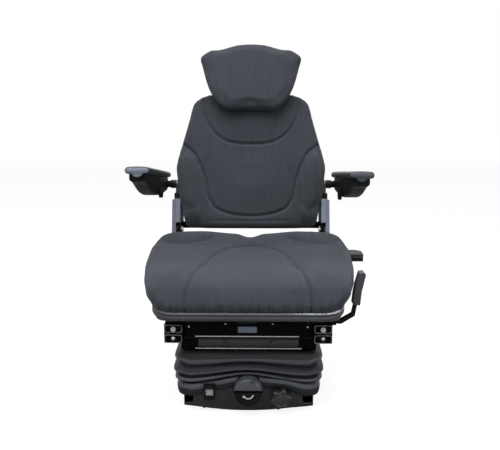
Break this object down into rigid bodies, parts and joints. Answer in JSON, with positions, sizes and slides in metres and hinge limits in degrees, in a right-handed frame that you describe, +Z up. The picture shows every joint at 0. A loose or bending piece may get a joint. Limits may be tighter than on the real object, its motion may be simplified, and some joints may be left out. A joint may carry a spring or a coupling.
{
  "type": "operator seat",
  "caption": "Sprung operator seat on a scissor suspension in a folded bellows, with slide rails, a reclining back, a backrest extension and armrests that fold up.",
  "frame": {"origin": "centre of the four mounting slots, on the underside of the base tray", "axes": "+X to the right of a person who faces the seat, +Y to the back of the seat, +Z up"},
  "size_m": [0.64, 0.6968, 0.9493],
  "materials": {
    "black_paint": "satin black paint",
    "zinc": "zinc-plated steel",
    "rubber_black": "matt moulded rubber",
    "plastic_black": "fine-grained black plastic",
    "plastic_grey": "light blue-grey plastic",
    "plastic_mid": "mid grey plastic",
    "fabric_grey": "ribbed dark grey fabric",
    "foam_skin": "soft grained armrest skin"
  },
  "bodies": {
    "base": {"base_tray": "black_paint", "lower_pivot_pins": "zinc", "bump_stops": "rubber_black", "control_panel": "plastic_black", "bellows": "rubber_black"},
    "outer_arms": {"outer_arms": "black_paint", "cross_pins": "zinc"},
    "inner_arms": {"inner_arms": "black_paint"},
    "lower_rollers": {"lower_rollers": "plastic_black"},
    "upper_rollers": {"upper_rollers": "plastic_black"},
    "damper_tube": {"damper_tube": "black_paint"},
    "damper_rod": {"damper_rod": "zinc"},
    "crank": {"spindle": "zinc", "crank_hub": "plastic_black"},
    "crank_grip": {"crank_grip": "plastic_mid"},
    "spring_carriage": {"spring_carriage": "zinc", "suspension_springs": "zinc"},
    "weight_indicator": {"weight_indicator": "zinc"},
    "star_knob": {"star_knob": "plastic_black"},
    "upper_frame": {"upper_frame": "black_paint", "upper_pivot_pins": "zinc", "front_bars": "zinc", "front_flap": "rubber_black", "flap_clips": "plastic_black", "lower_rail_left": "black_paint", "lower_rail_right": "black_paint"},
    "seat": {"upper_rail_left": "black_paint", "upper_rail_right": "black_paint", "seat_frame": "black_paint", "seat_frame_bolts": "zinc", "blank_plate": "plastic_mid", "seat_pan": "plastic_black", "seat_cushion": "fabric_grey", "recliner_seat_plate_left": "black_paint", "recliner_seat_plate_right": "black_paint", "recliner_bolts": "zinc"},
    "slide_lever": {"slide_lever": "plastic_black", "slide_grip": "plastic_black"},
    "recline_lever": {"recline_shaft": "zinc", "recline_paddle": "plastic_black"},
    "back": {"back_plate_left": "black_paint", "back_plate_right": "black_paint", "recliner_cover_left": "plastic_grey", "recliner_cover_right": "plastic_grey", "back_frame": "black_paint", "back_cushion": "fabric_grey", "back_shell": "plastic_black", "armrest_holder_left": "plastic_black", "armrest_holder_right": "plastic_black", "armrest_stem_left": "zinc", "armrest_stem_right": "zinc"},
    "extension": {"extension_pad": "fabric_grey", "extension_shell": "plastic_black", "extension_rods": "zinc"},
    "armrest_left": {"armrest_shell_left": "plastic_black", "armrest_pad_left": "foam_skin"},
    "armrest_right": {"armrest_shell_right": "plastic_black", "armrest_pad_right": "foam_skin"},
    "tilt_knob_left": {"tilt_knob_left": "plastic_black"},
    "tilt_knob_right": {"tilt_knob_right": "plastic_black"}
  },
  "joints": [
    {"name": "suspension", "type": "hinge", "parent": "base", "child": "outer_arms", "pos_m": [0, 0.147, 0.0173], "axis": [1, 0, 0], "range_deg": [0, 17.29], "stiffness_Nm_per_rad": 800, "springref_deg": -10.31, "deforming": ["bellows", "suspension_springs"]},
    {"name": "arm_cross", "type": "hinge", "parent": "outer_arms", "child": "inner_arms", "pos_m": [0, 0.02413, 0.0943], "axis": [1, 0, 0], "range_deg": [-34.58, 0]},
    {"name": "frame_level", "type": "hinge", "parent": "inner_arms", "child": "upper_frame", "pos_m": [0, 0.147, 0.1713], "axis": [1, 0, 0], "range_deg": [0, 17.29]},
    {"name": "lower_roller_spin", "type": "hinge", "parent": "inner_arms", "child": "lower_rollers", "pos_m": [0, -0.09873, 0.0173], "axis": [1, 0, 0], "continuous": true},
    {"name": "upper_roller_spin", "type": "hinge", "parent": "outer_arms", "child": "upper_rollers", "pos_m": [0, -0.09873, 0.1713], "axis": [1, 0, 0], "continuous": true},
    {"name": "damper_swing", "type": "hinge", "parent": "outer_arms", "child": "damper_tube", "pos_m": [-0.104, -0.05636, 0.14475], "axis": [1, 0, 0], "range_deg": [-17.29, 0]},
    {"name": "damper_stroke", "type": "slide", "parent": "damper_tube", "child": "damper_rod", "axis": [0, 1, 0], "range_m": [0, 0.02271]},
    {"name": "weight_crank", "type": "hinge", "parent": "base", "child": "crank", "pos_m": [0, -0.2, 0.0635], "axis": [0, -1, 0], "range_deg": [-720, 720]},
    {"name": "crank_fold", "type": "hinge", "parent": "crank", "child": "crank_grip", "pos_m": [0, -0.2081, 0.0725], "axis": [1, 0, 0], "range_deg": [0, 90]},
    {"name": "spring_draw", "type": "slide", "parent": "base", "child": "spring_carriage", "axis": [0, 1, 0], "range_m": [-0.012, 0.012]},
    {"name": "weight_slider", "type": "slide", "parent": "base", "child": "weight_indicator", "axis": [0, 0, 1], "range_m": [-0.006, 0.006]},
    {"name": "star_turn", "type": "hinge", "parent": "base", "child": "star_knob", "pos_m": [0.079, -0.2, 0.0425], "axis": [0, -1, 0], "continuous": true},
    {"name": "fore_aft", "type": "slide", "parent": "upper_frame", "child": "seat", "axis": [0, -1, 0], "range_m": [-0.075, 0.075]},
    {"name": "slide_release", "type": "hinge", "parent": "seat", "child": "slide_lever", "pos_m": [0.207, -0.15, 0.224], "axis": [0, 1, 0], "range_deg": [0, 9], "stiffness_Nm_per_rad": 2, "springref_deg": -8.59},
    {"name": "recline_release", "type": "hinge", "parent": "seat", "child": "recline_lever", "pos_m": [0, 0.262, 0.318], "axis": [-1, 0, 0], "range_deg": [0, 20], "stiffness_Nm_per_rad": 6, "springref_deg": -17.19},
    {"name": "recline", "type": "hinge", "parent": "seat", "child": "back", "pos_m": [0, 0.285, 0.372], "axis": [1, 0, 0], "range_deg": [-25, 30]},
    {"name": "extension_height", "type": "slide", "parent": "back", "child": "extension", "axis": [0, 0.1908, 0.9816], "range_m": [-0.05, 0.03]},
    {"name": "armrest_lift_left", "type": "hinge", "parent": "back", "child": "armrest_left", "pos_m": [-0.287, 0.30167, 0.51587], "axis": [-1, 0, 0], "range_deg": [0, 90]},
    {"name": "armrest_lift_right", "type": "hinge", "parent": "back", "child": "armrest_right", "pos_m": [0.287, 0.30167, 0.51587], "axis": [-1, 0, 0], "range_deg": [0, 90]},
    {"name": "tilt_turn_left", "type": "hinge", "parent": "armrest_left", "child": "tilt_knob_left", "pos_m": [-0.259, 0.14978, 0.50569], "axis": [1, 0, 0], "continuous": true},
    {"name": "tilt_turn_right", "type": "hinge", "parent": "armrest_right", "child": "tilt_knob_right", "pos_m": [0.259, 0.15022, 0.5004], "axis": [1, 0, 0], "continuous": true}
  ],
  "couplings": [
    {"joint": "arm_cross", "follows": "suspension", "ratio": -2},
    {"joint": "frame_level", "follows": "suspension", "ratio": 1},
    {"joint": "damper_swing", "follows": "suspension", "ratio": -1},
    {"joint": "damper_stroke", "follows": "suspension", "m_per_rad": 0.075262},
    {"joint": "spring_draw", "follows": "weight_crank", "m_per_rad": 0.00095493},
    {"joint": "weight_slider", "follows": "weight_crank", "m_per_rad": 0.00047746}
  ]
}
